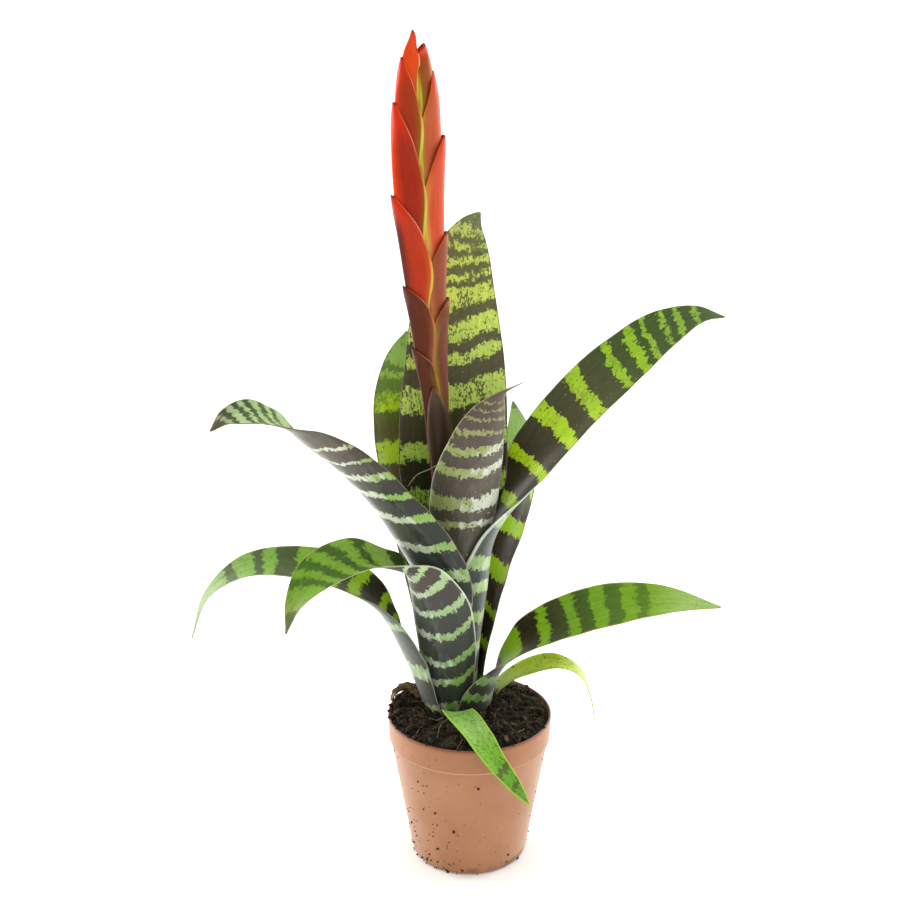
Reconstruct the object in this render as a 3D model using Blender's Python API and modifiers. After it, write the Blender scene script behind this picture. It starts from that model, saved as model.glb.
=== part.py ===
"""Potted bromeliad: a rosette of banded leaves round one flower spike, in a small plastic nursery pot.

The file works in metres, with +Z up and the origin at the middle of the pot's underside. Lengths in the
tables are millimetres. The leaves and the bracts are measured from the crown, the point where the rosette
leaves the soil.
"""

import math

import bmesh
import bpy
import numpy as np

MM = 0.001

# Pot
POT_HEIGHT = 85.0
POT_RIM_RADIUS = 45.0
POT_BASE_RADIUS = 31.3
POT_WALL = 1.2
POT_FLOOR = 1.6
POT_LEDGE_HEIGHT = 70.5
POT_LEDGE_STEP = 0.9
POT_SEGMENTS = 64
DRAIN_HOLES = 6
DRAIN_RADIUS = 3.5
DRAIN_REACH = 22.0

# Soil and crown
GAP = 0.3
SOIL_EDGE_HEIGHT = 81.5
SOIL_CROWN_HEIGHT = 85.5
SOIL_SEGMENTS = 48
CROWN = (-6.0, 12.0, 85.0)
POCKET_RADIUS = 20.8
POCKET_FLOOR = 74.0
STUMP_RADIUS = 4.6
STUMP_TOP = 79.0
STEM_RADIUS = 3.4

# Sheets
LEAF_THICKNESS = 0.9
LEAF_ROWS = 20
LEAF_COLUMNS = 6
BRACT_THICKNESS = 0.5
BRACT_ROWS = 10
BRACT_COLUMNS = 8

# The curve that the flower stem follows, from the crown: across, away, height.
STEM_COURSE = (
    (0, 0, -5.5), (-3, 0, 35), (-7, 0, 90), (-11, 0, 144), (-12, 0, 178), (-14.5, 0, 206),
    (-17.5, 0, 245), (-20.5, 0, 290), (-21.5, 0, 337), (-22, 0, 352),
)

# Each leaf from its base to its tip: across, away and height of the midrib, width across the arc,
# the way that the leaf grows in degrees, its roll about the midrib, and half the angle of the arc.
LEAVES = {
    "leaf_back_tall": (
        (0, 6, -9, 14.6, 92, 0, 69), (-1, 8, 30, 22, 92, 0, 62), (-2, 11, 52, 28, 92, 0, 56),
        (-3, 14, 82, 37, 92, 0, 46), (-3, 16, 104, 46, 92, 0, 44), (-3, 18, 126, 61, 90, 0, 44),
        (-3, 20, 158, 62, 90, 0, 38), (-2, 22, 190, 56, 88, 0, 30), (-2, 26, 214, 49, 86, 0, 24),
        (0, 31, 236, 38, 84, 0, 18), (4, 36, 256, 23, 82, 0, 12), (7, 38, 264, 12, 80, 0, 10),
        (11, 40, 269.5, 1.2, 80, 0, 4),
    ),
    "leaf_front_upright": (
        (-1, -6.3, -9, 15, 262, 0, 62), (-2, -8, 30, 17, 264, 0, 50), (-2.6, -9.4, 50, 20, 266, 0, 48),
        (-3, -11, 68, 24, 268, 0, 48), (-2, -12.5, 90, 33, 270, 0, 52), (2, -14.5, 115, 41, 274, 0, 54),
        (5.5, -16, 135, 42, 280, 0, 50), (9, -18, 151, 37, 284, 0, 46), (13, -19.5, 167, 30, 290, 0, 42),
        (17.5, -20.5, 180, 20, 296, 0, 36), (22, -21.5, 189, 8, 308, 0, 30), (33, -22, 196, 1.2, 330, 0, 16),
    ),
    "leaf_back_left": (
        (-6, 6, -9, 17, 138, 0, 57), (-8.5, 8.5, 26, 18, 136, 0, 50), (-13, 14, 50, 22, 130, 0, 40),
        (-21, 20, 82, 30, 126, 0, 40), (-30, 29, 125, 35, 118, 0, 36), (-33, 35, 146, 33, 114, 0, 31),
        (-34.5, 40, 170, 26, 110, 0, 25), (-32, 43, 190, 14, 108, 0, 18), (-28, 45, 202, 1.2, 106, 0, 6),
    ),
    "leaf_right_tall": (
        (6.5, -6, -9, 18.6, -42, 0, 60), (8, -7, 35, 28, -40, 0, 60), (13, -5, 70, 34, -32, 0, 60),
        (19, 0, 98, 36, -18, 10, 52), (34, 9, 127, 36, 0, 28, 40), (59, 23, 161, 33, 12, 42, 28),
        (88, 36, 187, 30, 16, 46, 20), (115, 45, 205, 21, 18, 44, 16), (132, 49, 210, 10, 18, 40, 12),
        (145, 51, 208, 1.2, 18, 30, 6),
    ),
    "leaf_left_upper": (
        (-7, -9, -9, 24.7, 232, 0, 62), (-8.4, -10.6, 20, 27, 233, 0, 60), (-9, -12, 44, 30, 234, 0, 62),
        (-16, -17.5, 79, 50, 230, 0, 65), (-28.5, -20, 102, 58, 222, 0, 64), (-44, -23, 126.5, 58, 208, 6, 60),
        (-61, -27, 148.5, 50, 198, 18, 54), (-81, -31, 167.5, 29, 190, 26, 40),
        (-97, -34, 180, 17, 188, -14, 28),
        (-109, -36, 184, 16, 186, -34, 24), (-119, -37, 182, 10, 186, -38, 20),
        (-127, -38, 175, 1.2, 186, -40, 8),
    ),
    "leaf_back_right": (
        (9, 7, -9, 25, 38, 0, 63), (11.5, 10.5, 23, 22, 38, 0, 48), (16, 17, 44, 22, 38, 0, 38),
        (23, 27, 71, 26, 40, 0, 42), (30, 37, 93, 27, 46, 0, 38), (35, 44, 120, 24, 54, 0, 32),
        (34, 49, 141, 16, 64, 0, 24), (30, 52, 159, 1.2, 74, 0, 10),
    ),
    "leaf_front_left": (
        (-4, -13, -9, 29.4, 255, 0, 62), (-7, -16.5, 11, 33, 255, 0, 62), (-10, -21, 42, 42, 252, 0, 64),
        (-16, -26, 72, 41, 244, 0, 64), (-26, -30, 90, 32, 226, 0, 66), (-38, -34, 98, 22, 206, -10, 60),
        (-57, -40, 104, 24, 196, -36, 40), (-75, -48, 98, 22, 190, -44, 30), (-85, -54, 86, 12, 188, -40, 22),
        (-90, -58, 70, 1.2, 188, -30, 8),
    ),
    "leaf_back_low": (
        (-4.6, 13.3, -9, 20, 109, 0, 40), (-6.6, 18.4, 30, 20, 108, 0, 31), (-7, 33, 70, 27, 102, 0, 34),
        (-3, 56, 98, 29, 94, 0, 32), (2, 84, 108, 24, 90, 0, 28), (6, 108, 100, 12, 88, 0, 22),
        (7, 118, 90, 1.2, 88, 0, 8),
    ),
    "leaf_left_lower": (
        (-15, -7, -9, 23.7, 205, 0, 41), (-19.5, -8.6, 6, 28, 203, 0, 34), (-31, -12, 38, 36, 200, 0, 44),
        (-47, -12, 67, 35, 192, -10, 42), (-66, -9, 81, 28, 184, -24, 36), (-91, -4, 86, 20, 180, -36, 28),
        (-116, 0, 82, 14, 180, -40, 24), (-137, 0, 66, 6, 180, -34, 18), (-147, 0, 39, 1.2, 180, -20, 8),
    ),
    "leaf_right_lower": (
        (11.5, -12, -9, 29, -46, 0, 50), (14, -13, 6, 30, -44, 0, 50), (22, -13, 24, 30, -28, 6, 44),
        (38, -16, 46, 29, -10, 22, 38), (60, -20, 61, 27, -2, 36, 30), (86, -24, 71, 24, 0, 44, 24),
        (112, -28, 75, 15, 0, 44, 18), (139, -32, 73, 1.2, 0, 30, 6),
    ),
    "leaf_back_left_low": (
        (-7.7, 14.5, -9, 20.6, 118, 0, 36), (-12, 22, 24, 24, 118, 0, 36), (-20, 37, 58, 25, 116, 0, 34),
        (-29, 57, 84, 22, 114, 0, 28), (-36, 76, 92, 14, 112, 0, 22), (-40, 90, 86, 1.2, 112, 0, 8),
    ),
    "leaf_right_small": (
        (17, 6, -9, 11.4, 20, 0, 18), (18, 6.3, 0, 11.6, 16, 0, 18), (30, 6, 13, 12, 8, 10, 20),
        (42, 5, 20, 12, 2, 24, 18), (56, 0, 24, 10, 0, 24, 16), (67, -2, 19, 7, 0, 14, 12),
        (73, -4, 6, 4, 0, 0, 8), (76, -4, -11, 1.2, 0, 0, 4),
    ),
    "leaf_front_small": (
        (-0.6, -19, -9, 14.6, 269, 0, 22), (-0.6, -19.1, 0, 15, 270, 0, 22), (-1, -28, 8, 17, 276, 0, 24),
        (9, -46, 5, 16, 292, 0, 20), (19, -62, -3, 13, 300, 0, 16), (30, -70, -14, 8, 302, 0, 12),
        (37, -72, -23, 1.2, 304, 0, 6),
    ),
    "leaf_withered": (
        (-23.5, 1, 3, 7, 176, 0, 60), (-26, 0, 6, 9, 178, 10, 70), (-30, -1, 8, 9, 184, 20, 70),
        (-34, -3, 6.5, 7, 190, 20, 60), (-37, -5, 3, 2, 196, 10, 40),
    ),
}

# The flat two-sided spike: height, and how far its edges stand from the stem's axis.
SPIKE_TURN = 25.0
SPIKE_EDGE = (
    (140, 5.0), (156, 6.4), (178, 8.0), (206, 10.2), (245, 12.5), (271, 13.8), (290, 14.8), (318, 14.4),
    (337, 12.2), (351, 9.2), (359, 7.3), (365, 4.6), (372, 1.0),
)
SPIKE_DEPTH = 5.4

# Each bract of the spike: the edge that it stands on, the height of its tip, and the height at which
# its margin meets the one on the other side.
BRACTS = (
    (-1, 208, 188), (1, 233, 215), (-1, 242, 218), (1, 268, 244), (-1, 290, 247), (1, 318, 285),
    (-1, 337, 287), (1, 351, 324), (-1, 359, 326), (1, 365, 345), (-1, 372, 352),
)

# The lowest bract, which faces the front: across, away, height, width, growth, roll, half angle.
SCAPE_BRACT = (
    (-8.5, -5.4, 128, 16, 272, 0, 95), (-9.5, -6, 145, 18, 272, 0, 85), (-10.5, -6.8, 164, 18, 272, 0, 75),
    (-12, -6.9, 178, 10, 272, 0, 60), (-13.5, -6.4, 187, 1.0, 272, 0, 30),
)


def smooth_through(stations, count):
    """Rows evenly spaced along a smooth curve through the stations, which start with a place."""
    rows = np.asarray(stations, float)
    steps = np.linalg.norm(np.diff(rows[:, :3], axis=0), axis=1)
    along = np.concatenate([[0.0], np.cumsum(steps)])
    slopes = np.gradient(rows, along, axis=0)
    out = []
    for here in np.linspace(0.0, along[-1], count):
        i = min(int(np.searchsorted(along, here, side="right")) - 1, len(rows) - 2)
        span = along[i + 1] - along[i]
        t = (here - along[i]) / span
        out.append(
            rows[i] * (1 + 2 * t) * (1 - t) ** 2
            + slopes[i] * span * t * (1 - t) ** 2
            + rows[i + 1] * t * t * (3 - 2 * t)
            + slopes[i + 1] * span * t * t * (t - 1)
        )
    return np.array(out)


def unit(vectors):
    return vectors / np.linalg.norm(vectors, axis=-1, keepdims=True)


def frames_along(rows):
    """The side and the inward direction of the sheet at each row."""
    tangent = unit(np.gradient(rows[:, :3], axis=0))
    growth = np.radians(rows[:, 4])
    side = np.stack([-np.sin(growth), np.cos(growth), np.zeros(len(rows))], axis=1)
    side = unit(side - tangent * (side * tangent).sum(axis=1, keepdims=True))
    roll = np.radians(rows[:, 5:6])
    side = side * np.cos(roll) + np.cross(tangent, side) * np.sin(roll)
    return side, np.cross(tangent, side)


def new_object(name, bm, parts):
    mesh = bpy.data.meshes.new(name)
    bm.to_mesh(mesh)
    bm.free()
    obj = bpy.data.objects.new(name, mesh)
    parts.objects.link(obj)
    return obj


def smooth_faces(obj):
    for polygon in obj.data.polygons:
        polygon.use_smooth = True


def sheet(name, rows, columns, thickness, parts, material):
    """A curved sheet along the rows: arcs across it, thickened to a closed body.

    A row holds the midrib's place, width, growth, roll and half angle, and a squash across the arc."""
    side, inward = frames_along(rows)
    bm = bmesh.new()
    bmesh.ops.create_grid(bm, x_segments=columns, y_segments=len(rows) - 1, size=0.5)
    for vertex in bm.verts:
        row = round((vertex.co.y + 0.5) * (len(rows) - 1))
        place, squash = rows[row, :3], rows[row, 7]
        half_angle = math.radians(rows[row, 6])
        radius = rows[row, 3] / (2 * half_angle)
        angle = 2 * vertex.co.x * half_angle
        sideways = side[row] * radius * math.sin(angle) * squash
        upwards = inward[row] * radius * (1 - math.cos(angle))
        vertex.co = (place + sideways + upwards + np.array(CROWN)) * MM
    obj = new_object(name, bm, parts)
    smooth_faces(obj)
    thicken = obj.modifiers.new("Thickness", "SOLIDIFY")
    thicken.thickness = thickness * MM
    thicken.offset = 0.0
    obj.data.materials.append(material)
    return obj


def make_leaf(name, stations, parts, material):
    full = [station + (1.0,) for station in stations]
    return sheet(name, smooth_through(full, LEAF_ROWS), LEAF_COLUMNS, LEAF_THICKNESS, parts, material)


def stem_at(height):
    """How far across the stem's axis is at a height above the crown."""
    course = np.array(STEM_COURSE, float)
    return float(np.interp(height, course[:, 2], course[:, 0]))


def spike_edge(height):
    edge = np.array(SPIKE_EDGE, float)
    return float(np.interp(height, edge[:, 0], edge[:, 1]))


def make_bract(name, side, tip, fork, parts, material):
    """A boat-shaped bract: its keel stands on one edge of the spike, and its halves meet the other side's.

    Above the fork its margins run out to the keel, and below it they narrow down to the stem."""
    foot = fork - 0.6 * (tip - fork) - 6
    growth = SPIKE_TURN + (180 if side < 0 else 0)
    half_angle = 95.0
    stations = []
    for height, out, cover, depth in (
        (foot, 0.0, 1.0, 0.0), ((foot + fork) / 2, 0.62, 1.0, 0.55), (fork, 0.88, 1.0, 0.78),
        ((fork + tip) / 2, 0.97, 0.66, 0.86), (tip - 0.14 * (tip - fork), 1.03, 0.3, 0.76),
        (tip, 1.05, 0.06, 0.2),
    ):
        keel = max(spike_edge(height) * out, 2.8)
        reach = max(keel * cover - 0.5, 0.5)
        least_depth = 2.4 if out == 0 else 0.5
        half_depth = max(SPIKE_DEPTH * depth * min(1.0, spike_edge(height) / 12), least_depth)
        radius = reach / (1 - math.cos(math.radians(half_angle)))
        turn = math.radians(growth)
        place = (stem_at(height) + keel * math.cos(turn), keel * math.sin(turn), height)
        width = radius * 2 * math.radians(half_angle)
        stations.append((*place, width, growth, 0.0, half_angle, half_depth / radius))
    rows = smooth_through(stations, BRACT_ROWS)
    return sheet(name, rows, BRACT_COLUMNS, BRACT_THICKNESS, parts, material)


def make_material(name, colour, roughness):
    material = bpy.data.materials.new(name)
    material.use_nodes = True
    shader = material.node_tree.nodes["Principled BSDF"]
    shader.inputs["Base Color"].default_value = (*colour, 1.0)
    shader.inputs["Roughness"].default_value = roughness
    shader.inputs["Metallic"].default_value = 0.0
    material.diffuse_color = (*colour, 1.0)
    return material


def turned(name, profile, segments, parts, material):
    """A body of revolution about Z from (radius, height) pairs that start and end on the axis."""
    bm = bmesh.new()
    points = [bm.verts.new((radius * MM, 0.0, height * MM)) for radius, height in profile]
    for first, second in zip(points, points[1:]):
        bm.edges.new((first, second))
    obj = new_object(name, bm, parts)
    screw = obj.modifiers.new("Turn", "SCREW")
    screw.steps = segments
    screw.render_steps = segments
    screw.use_merge_vertices = True
    screw.merge_threshold = 0.00001
    screw.use_smooth_shade = True
    obj.data.materials.append(material)
    return obj


def cylinder(name, place, radius, bottom, top, segments, collection):
    bm = bmesh.new()
    bmesh.ops.create_cone(
        bm, cap_ends=True, segments=segments, radius1=radius * MM, radius2=radius * MM,
        depth=(top - bottom) * MM,
    )
    obj = new_object(name, bm, collection)
    obj.location = (place[0] * MM, place[1] * MM, (top + bottom) / 2 * MM)
    return obj


def cut(obj, cutter):
    boolean = obj.modifiers.new(cutter.name, "BOOLEAN")
    boolean.operation = "DIFFERENCE"
    boolean.solver = "EXACT"
    boolean.object = cutter
    cutter.display_type = "WIRE"


def wall_radius(height):
    """The pot's outer radius below the ledge, at a height."""
    ledge = POT_RIM_RADIUS - POT_LEDGE_STEP - 0.6
    return POT_BASE_RADIUS + (ledge - POT_BASE_RADIUS) * height / POT_LEDGE_HEIGHT


def make_pot(parts, cutters, material):
    ledge = wall_radius(POT_LEDGE_HEIGHT)
    inner_floor = wall_radius(POT_FLOOR) - POT_WALL
    profile = (
        (0.0, POT_FLOOR),
        (inner_floor - 1.0, POT_FLOOR),
        (inner_floor, POT_FLOOR + 1.0),
        (ledge - POT_WALL, POT_LEDGE_HEIGHT - 1.0),
        (ledge - POT_WALL + POT_LEDGE_STEP, POT_LEDGE_HEIGHT + 0.6),
        (POT_RIM_RADIUS - POT_WALL, POT_HEIGHT - 0.4),
        (POT_RIM_RADIUS - POT_WALL + 0.3, POT_HEIGHT),
        (POT_RIM_RADIUS - 0.3, POT_HEIGHT),
        (POT_RIM_RADIUS, POT_HEIGHT - 0.4),
        (ledge + POT_LEDGE_STEP, POT_LEDGE_HEIGHT + 0.4),
        (ledge + POT_LEDGE_STEP - 0.3, POT_LEDGE_HEIGHT),
        (ledge, POT_LEDGE_HEIGHT - 0.2),
        (wall_radius(2.0), 2.0),
        (wall_radius(0.0) - 0.4, 0.6),
        (wall_radius(0.0) - 1.4, 0.0),
        (0.0, 0.0),
    )
    pot = turned("pot", profile, POT_SEGMENTS, parts, material)
    for index in range(DRAIN_HOLES):
        angle = math.tau * (index + 0.5) / DRAIN_HOLES
        place = (DRAIN_REACH * math.cos(angle), DRAIN_REACH * math.sin(angle))
        cut(pot, cylinder(f"drain_{index}", place, DRAIN_RADIUS, -3.0, POT_FLOOR + 3.0, 16, cutters))


def make_soil(parts, cutters, material):
    inside = POT_WALL + GAP
    top_radius = POT_RIM_RADIUS - inside - 0.7
    profile = (
        (0.0, SOIL_CROWN_HEIGHT),
        (24.0, SOIL_CROWN_HEIGHT - 0.4),
        (36.0, SOIL_EDGE_HEIGHT + 1.4),
        (top_radius, SOIL_EDGE_HEIGHT),
        (wall_radius(POT_LEDGE_HEIGHT) - inside, POT_LEDGE_HEIGHT - 2.0),
        (wall_radius(POT_FLOOR + 2.0) - inside, POT_FLOOR + 2.0),
        (wall_radius(POT_FLOOR + 2.0) - inside - 2.0, POT_FLOOR + GAP),
        (0.0, POT_FLOOR + GAP),
    )
    soil = turned("soil", profile, SOIL_SEGMENTS, parts, material)
    cut(soil, cylinder("pocket", CROWN, POCKET_RADIUS, POCKET_FLOOR, POT_HEIGHT + 10.0, 40, cutters))


def make_stem(parts, material):
    curve = bpy.data.curves.new("flower_stem", "CURVE")
    curve.dimensions = "3D"
    curve.resolution_u = 3
    curve.bevel_depth = STEM_RADIUS * MM
    curve.bevel_resolution = 2
    curve.use_fill_caps = True
    spline = curve.splines.new("BEZIER")
    spline.bezier_points.add(len(STEM_COURSE) - 1)
    for point, place in zip(spline.bezier_points, STEM_COURSE):
        point.co = [(place[axis] + CROWN[axis]) * MM for axis in range(3)]
        point.handle_left_type = "AUTO"
        point.handle_right_type = "AUTO"
        point.radius = 1.0 if place[2] < 150 else 0.6 - 0.3 * (place[2] - 150) / 210
    stem = bpy.data.objects.new("flower_stem", curve)
    parts.objects.link(stem)
    curve.materials.append(material)


def clear_scene():
    for obj in list(bpy.data.objects):
        bpy.data.objects.remove(obj, do_unlink=True)


def new_collection(name, hidden):
    collection = bpy.data.collections.new(name)
    collection.hide_render = hidden
    bpy.context.scene.collection.children.link(collection)
    return collection


def main():
    clear_scene()
    parts = new_collection("potted_bromeliad", False)
    cutters = new_collection("cutters", True)
    plastic = make_material("terracotta_plastic", (0.52, 0.28, 0.17), 0.55)
    peat = make_material("peat", (0.03, 0.022, 0.015), 0.95)
    woody = make_material("stump", (0.14, 0.12, 0.06), 0.8)
    leaf_green = make_material("leaf", (0.16, 0.24, 0.05), 0.4)
    dry_brown = make_material("withered_leaf", (0.16, 0.1, 0.045), 0.85)
    stem_green = make_material("stem", (0.32, 0.4, 0.08), 0.5)
    bract_red = make_material("bract", (0.62, 0.1, 0.03), 0.4)
    make_pot(parts, cutters, plastic)
    make_soil(parts, cutters, peat)
    stump = cylinder("stump", CROWN, STUMP_RADIUS, POCKET_FLOOR + GAP, STUMP_TOP, 24, parts)
    stump.data.materials.append(woody)
    make_stem(parts, stem_green)
    for name, stations in LEAVES.items():
        make_leaf(name, stations, parts, dry_brown if name == "leaf_withered" else leaf_green)
    for number, bract in enumerate(BRACTS, 1):
        make_bract(f"bract_{number:02d}", *bract, parts, bract_red)
    rows = smooth_through([station + (1.0,) for station in SCAPE_BRACT], BRACT_ROWS)
    sheet("scape_bract", rows, BRACT_COLUMNS, BRACT_THICKNESS, parts, bract_red)


main()
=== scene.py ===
"""Potted bromeliad: the looks of its pot, peat, banded leaves and flower spike.

Lengths in the tables are millimetres, and colours are display values from 0 to 255. The leaves and
the bracts are measured from the crown, the point where the rosette leaves the peat, as in the part.
"""

import math
import random
from dataclasses import dataclass

import bmesh
import bpy
import numpy as np
from mathutils import Matrix, Vector, noise


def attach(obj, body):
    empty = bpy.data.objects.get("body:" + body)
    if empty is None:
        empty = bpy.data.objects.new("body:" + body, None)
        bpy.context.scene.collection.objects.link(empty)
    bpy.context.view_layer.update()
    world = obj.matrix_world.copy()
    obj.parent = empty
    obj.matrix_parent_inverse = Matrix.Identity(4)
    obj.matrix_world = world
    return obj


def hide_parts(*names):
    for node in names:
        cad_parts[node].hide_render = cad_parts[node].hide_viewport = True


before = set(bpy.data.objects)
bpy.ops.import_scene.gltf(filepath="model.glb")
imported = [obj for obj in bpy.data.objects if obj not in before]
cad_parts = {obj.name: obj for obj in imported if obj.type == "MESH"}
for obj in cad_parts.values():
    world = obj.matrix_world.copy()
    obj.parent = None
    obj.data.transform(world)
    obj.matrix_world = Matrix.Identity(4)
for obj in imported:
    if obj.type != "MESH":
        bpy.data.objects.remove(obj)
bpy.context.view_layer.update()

MM = 0.001
NOISE_SEED = 7

# Camera, aimed down at the plant from in front
CAMERA_PLACE = (-0.0108, -1.0, 0.625)
CAMERA_TILT = 68.93
CAMERA_LENS = 81.64

# Studio: a sky that brightens towards the back, and each light's name, place, size and power
SKY_COLOUR = (1.0, 0.985, 0.93, 1.0)
SKY_FRONT = 0.5
SKY_BACK = 1.12
OVERHEAD_POWER = 1.25
OVERHEAD_SPREAD = 150
LIGHTS = (
    ("left", (-1.4, 0.7, 0.55), 0.9, 20.0),
    ("right", (1.4, 0.7, 0.55), 0.9, 19.0),
)
LIGHT_AIM = (0.0, 0.0, 0.2)
FLOOR_REACH = 8.0
FLOOR_COLOUR = (0.95, 0.95, 0.95, 1.0)

# Pot
POT_HEIGHT = 85.0
RIM_RADIUS = 45.0
BASE_RADIUS = 31.3
WALL = 1.2
FLOOR = 1.6
LEDGE_HEIGHT = 70.5
LEDGE_STEP = 0.9
LEDGE_RADIUS = RIM_RADIUS - LEDGE_STEP - 0.6
TAPER = (LEDGE_RADIUS - BASE_RADIUS) / LEDGE_HEIGHT
POT_STEPS = 160
POT_ROUNDING = 0.35
DRAIN_HOLES = 6
DRAIN_RADIUS = 3.5
DRAIN_REACH = 22.0
CLAY = ((162, 110, 74), (172, 120, 84))
CLAY_FLOW = (152, 98, 64)
CLAY_LIP = (160, 84, 38)
# The pale line along the ledge is a painted highlight.
CLAY_LEDGE_HIGHLIGHT = (232, 190, 160)
# The inside of the wall is painted darker: painted shade.
CLAY_INSIDE_SHADE = (112, 66, 40)
CLAY_DIRT = (86, 58, 34)

# Peat: its height, the fall at its edge, its tilt, and the rise, closeness and start of its lumps
PEAT_HEIGHT = 86.2
PEAT_FALL = 2.4
PEAT_REACH = 42
PEAT_TILT = 0.03
PEAT_LUMPS = ((2.2, 0.09, 4.0), (1.6, 0.3, 9.0), (0.8, 0.8, 15.0))
PEAT_FLAT = 83.0
PEAT_RINGS = 36
PEAT_STEPS = 140
LOOSE_REACH = 41.5
FIBRE_REACH = 40.0
FIBRE_LIMIT = 42.5

# Loose pieces: how many, and the seed of each kind's draws
CRUMBS, LUMPS, EDGE_LUMPS, CRUMB_SEED = 650, 34, 46, 11
BARK_BITS, BARK_SEED = 46, 23
POT_SPECKS, SPECK_SEED = 120, 53
FIBRE_SEED = 37
LUMP_FLATNESS = 0.7
# Crumbs on the pot's rim: the way round in degrees, the distance out and the size
RIM_CRUMBS = (
    (172, 44.2, 1.6), (180, 44.6, 1.1), (190, 44.4, 1.9), (198, 44.0, 1.2), (206, 44.5, 0.9),
    (221, 44.3, 1.0), (238, 44.4, 0.8), (262, 44.2, 0.7), (301, 44.3, 0.9), (335, 44.4, 0.8),
)
# Fibres: name, number, radius, and the deep and light colours
FIBRES = (
    ("peat_fibres", 60, 0.2, (48, 38, 24), (116, 96, 62)),
    ("pale_roots", 9, 0.26, (112, 100, 72), (176, 166, 136)),
)
WISP_RADIUS = 0.28
WISP = ((-4, -12, 146), (-10, -13, 147), (-16, -14, 144.5), (-22, -15, 142), (-27, -17, 136))

# Crown, stem and sheets
CROWN = np.array((-6.0, 12.0, 85.0))
STEM_RADIUS = 3.4
STEM_ROWS = 120
LEAF_THICKNESS = 0.9
LEAF_ROW_STEP = 1.4
LEAF_COLUMNS = 28
LEAF_RUFFLE = 0.7
DRY_LEAF_THICKNESS = 0.6
DRY_LEAF_WIDENING = 1.5
BRACT_THICKNESS = 0.5
BRACT_COLUMNS = 24
BRACT_ROWS = 48
BRACT_HALF_ANGLE = 95.0

# Marks on the leaves: how far a band's torn edge and its wander reach, the softness of its ends,
# and how deep the colour between the bands is
BAND_TEAR = 5.5
BAND_WANDER = 7.0
BAND_SHOULDER = 1.6
BAND_CUT = 0.56
BAND_DEPTH = 0.68
BANDS_IN_RAMP = 7
RIB_TURN = 5.4
CHALK = (216, 222, 208)
CHALK_BETWEEN = (168, 172, 162)
PEAT_SPECK = (48, 38, 24)

STEM_COURSE = (
    (0, 0, -5.5), (-3, 0, 35), (-7, 0, 90), (-11, 0, 144), (-12, 0, 178), (-14.5, 0, 206),
    (-17.5, 0, 245), (-20.5, 0, 290), (-21.5, 0, 337), (-22, 0, 352),
)

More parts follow.
